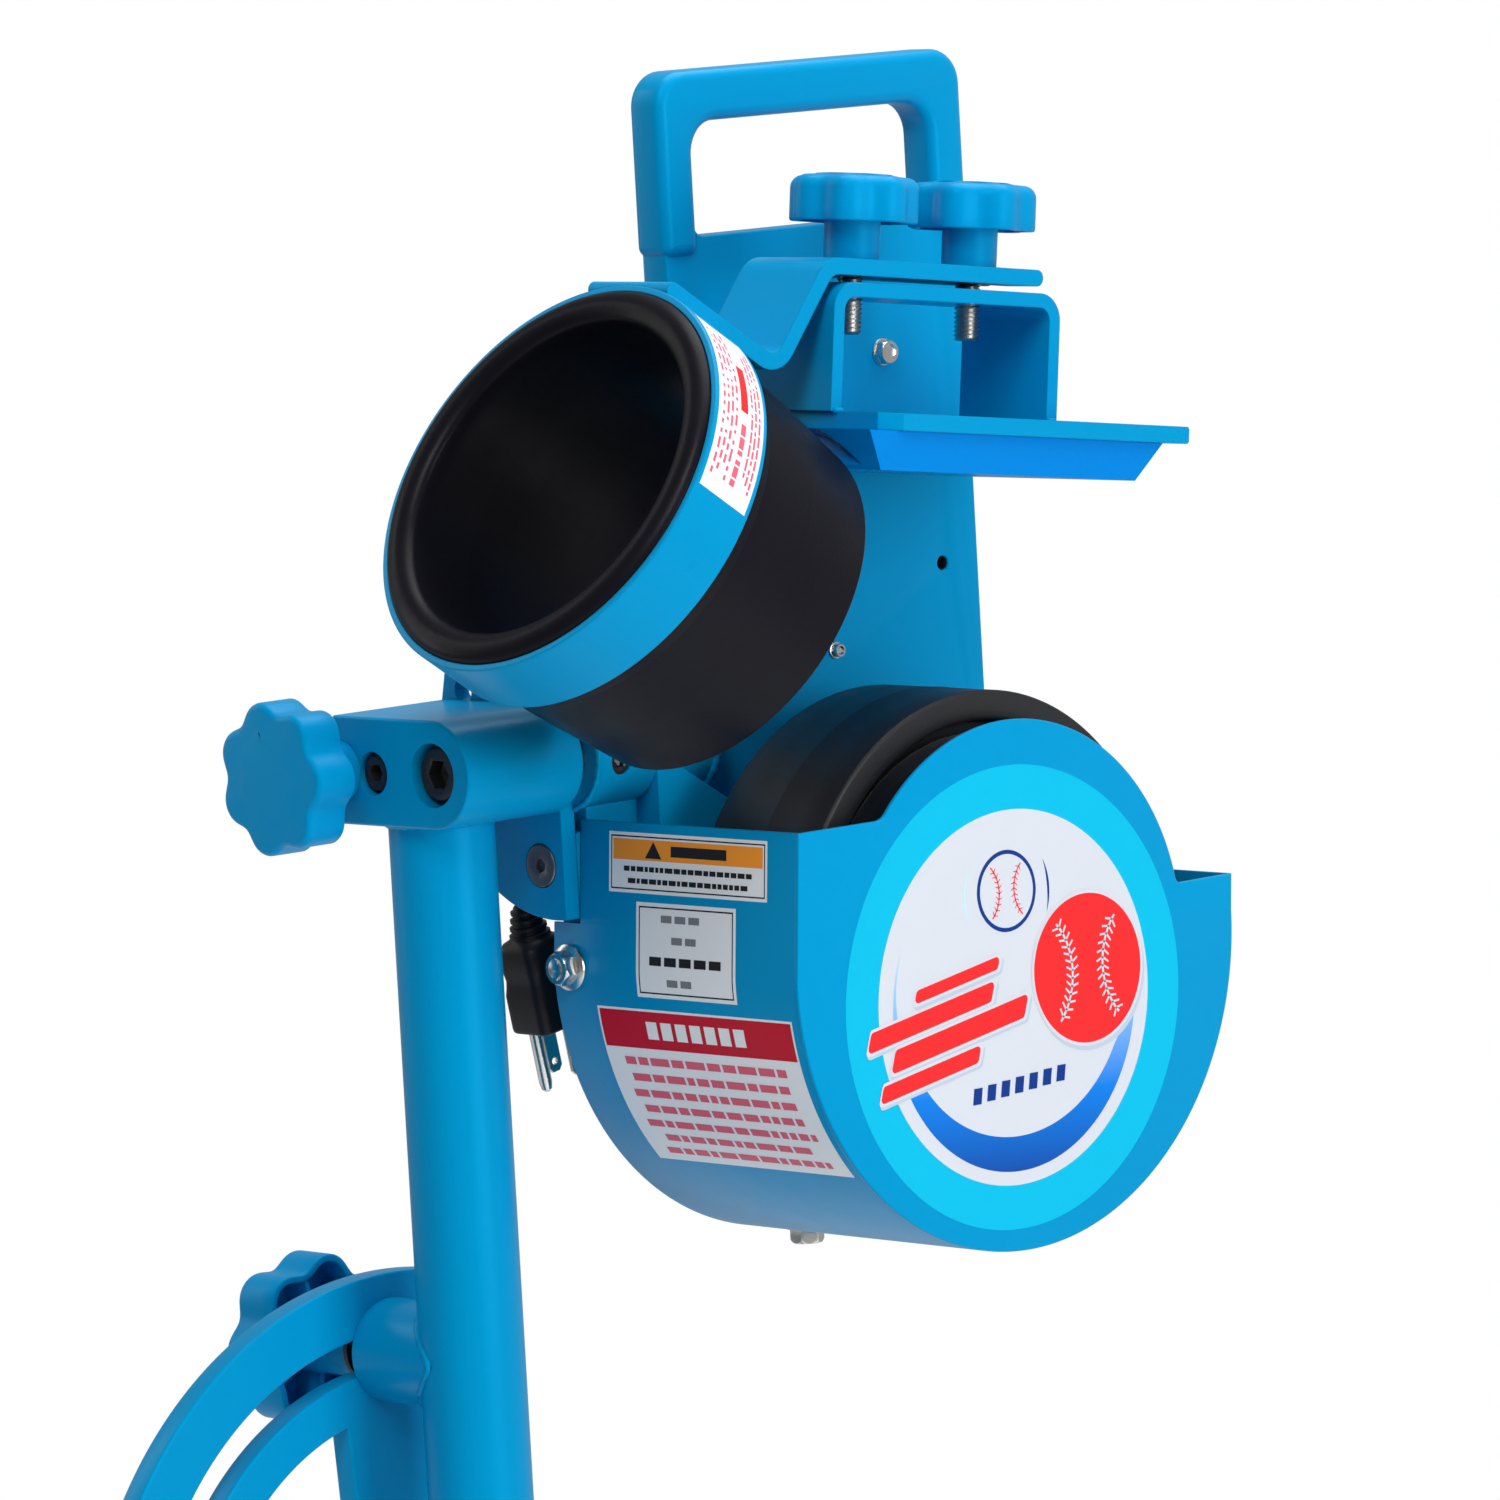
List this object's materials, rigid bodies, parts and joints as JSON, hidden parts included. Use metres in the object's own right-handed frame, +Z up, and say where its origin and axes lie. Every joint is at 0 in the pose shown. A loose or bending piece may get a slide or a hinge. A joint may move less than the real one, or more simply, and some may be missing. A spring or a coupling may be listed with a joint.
{
  "type": "single-wheel pitching machine",
  "caption": "Ball pitching machine: a motor-driven wheel under a pressure pad, fed by a round rubber chute, on a tilting mast and a tripod stand.",
  "frame": {"origin": "on the ground, at the bottom centre of the machine's bounding box at rest", "axes": "+X the way the ball is thrown, +Y across the machine from the wheel guard towards the motor, +Z up"},
  "size_m": [0.6866, 0.7752, 1.24],
  "materials": {
    "blue_paint": "semi-gloss powder coat",
    "blue_knob": "moulded, satin",
    "pad_urethane": "smooth cast urethane",
    "tyre_rubber": "satin rubber",
    "chute_rubber": "smooth moulded rubber",
    "foot_rubber": "matt rubber",
    "zinc_steel": "bright zinc plate",
    "black_oxide": "black oxide, satin",
    "bright_steel": "ground",
    "bearing_plastic": "moulded",
    "cast_aluminium": "as cast",
    "motor_paint": "satin black",
    "armature_steel": "laminated",
    "label_film": "printed vinyl",
    "box_plastic": "fine texture",
    "board": "solder mask",
    "black_plastic": "moulded PVC",
    "switch_red": "moulded",
    "pin_nickel": "nickel plate"
  },
  "bodies": {
    "stand": {"stand_hub": "blue_paint", "hub_bushing": "bearing_plastic", "leg_tubes": "blue_paint", "leg_feet": "foot_rubber"},
    "pan_lock": {"pan_lock_knob": "blue_knob"},
    "swivel": {"swivel_spindle": "bright_steel", "swivel_yoke": "blue_paint", "tilt_quadrant": "blue_paint", "quadrant_bolts": "zinc_steel", "pivot_bolt": "zinc_steel", "pivot_nut": "zinc_steel"},
    "mast": {"mast_tube": "blue_paint", "pivot_sleeve": "blue_paint", "tilt_boss": "blue_paint", "roll_housing": "blue_paint", "housing_clamp_screw": "black_oxide", "roll_bushings": "bearing_plastic", "tilt_lock_bushing": "bearing_plastic"},
    "tilt_lock": {"tilt_lock_knob": "blue_knob"},
    "roll_lock": {"roll_lock_knob": "blue_knob"},
    "head": {"roll_spindle": "bright_steel", "spindle_screw": "black_oxide", "head_tube": "blue_paint", "tube_set_screw": "black_oxide", "index_sector": "blue_paint", "sector_screw": "zinc_steel", "backplate": "blue_paint", "tube_gusset": "blue_paint", "wheel_guard": "blue_paint", "guard_bolts": "zinc_steel", "guard_decal": "label_film", "side_labels": "label_film", "wheel_bearing": "bright_steel", "motor_front_bell": "cast_aluminium", "motor_can": "motor_paint", "motor_screws": "zinc_steel", "control_box": "box_plastic", "control_cover": "box_plastic", "circuit_board": "board", "switch_bezel": "box_plastic", "power_cord": "black_plastic", "plug_body": "black_plastic", "plug_pins": "pin_nickel", "plate_screws": "zinc_steel", "pad_plate": "blue_paint", "pressure_pad": "pad_urethane", "pad_channel": "blue_paint", "chute_studs": "zinc_steel"},
    "wheel": {"tyre": "tyre_rubber", "wheel_hub": "cast_aluminium", "motor_shaft": "bright_steel", "motor_armature": "armature_steel", "wheel_nut": "zinc_steel"},
    "chute": {"chute_band": "blue_paint", "chute_tube": "chute_rubber", "chute_strap": "blue_paint"},
    "chute_knob_a": {"chute_knob_left": "blue_knob"},
    "chute_knob_b": {"chute_knob_right": "blue_knob"},
    "dial": {"speed_dial": "black_plastic"},
    "rocker": {"power_rocker": "switch_red"}
  },
  "joints": [
    {"name": "pan", "type": "hinge", "parent": "stand", "child": "swivel", "pos_m": [0.10138, 0, 0.575], "axis": [0, 0, 1], "range_deg": [-180, 180]},
    {"name": "pan_lock_turn", "type": "hinge", "parent": "stand", "child": "pan_lock", "pos_m": [0.08638, -0.02598, 0.547], "axis": [-0.5, -0.866, 0], "range_deg": [0, 360]},
    {"name": "tilt", "type": "hinge", "parent": "swivel", "child": "mast", "pos_m": [0.10138, 0, 0.65], "axis": [0, 1, 0], "range_deg": [-72, 14]},
    {"name": "tilt_lock_turn", "type": "hinge", "parent": "mast", "child": "tilt_lock", "pos_m": [0.09254, 0.0566, 0.76757], "axis": [0, 1, 0], "range_deg": [0, 360]},
    {"name": "roll", "type": "hinge", "parent": "mast", "child": "head", "pos_m": [0.0798, -0.024, 0.98232], "axis": [0.9972, 0, 0.075], "range_deg": [-27.6, 27.6]},
    {"name": "roll_lock_turn", "type": "hinge", "parent": "mast", "child": "roll_lock", "pos_m": [0.05268, 0.0253, 0.98028], "axis": [-0.9972, 0, -0.075], "range_deg": [0, 360]},
    {"name": "wheel_spin", "type": "hinge", "parent": "head", "child": "wheel", "pos_m": [0.2267, -0.0974, 0.91715], "axis": [0, 1, 0], "continuous": true},
    {"name": "chute_slide", "type": "slide", "parent": "head", "child": "chute", "axis": [0.9989, 0, -0.0471], "range_m": [-0.018, 0]},
    {"name": "chute_knob_a_turn", "type": "hinge", "parent": "head", "child": "chute_knob_a", "pos_m": [0.18727, -0.0974, 1.16221], "axis": [0.0471, 0, 0.9989], "range_deg": [0, 360]},
    {"name": "chute_knob_b_turn", "type": "hinge", "parent": "head", "child": "chute_knob_b", "pos_m": [0.24581, -0.0974, 1.15945], "axis": [0.0471, 0, 0.9989], "range_deg": [0, 360]},
    {"name": "speed_dial_turn", "type": "hinge", "parent": "head", "child": "dial", "pos_m": [0.24487, 0.0395, 1.08899], "axis": [0, 1, 0], "range_deg": [0, 270]},
    {"name": "power_rocker_tip", "type": "hinge", "parent": "head", "child": "rocker", "pos_m": [0.24847, 0.0394, 1.04113], "axis": [0.9972, 0, 0.075], "range_deg": [0, 12]}
  ]
}
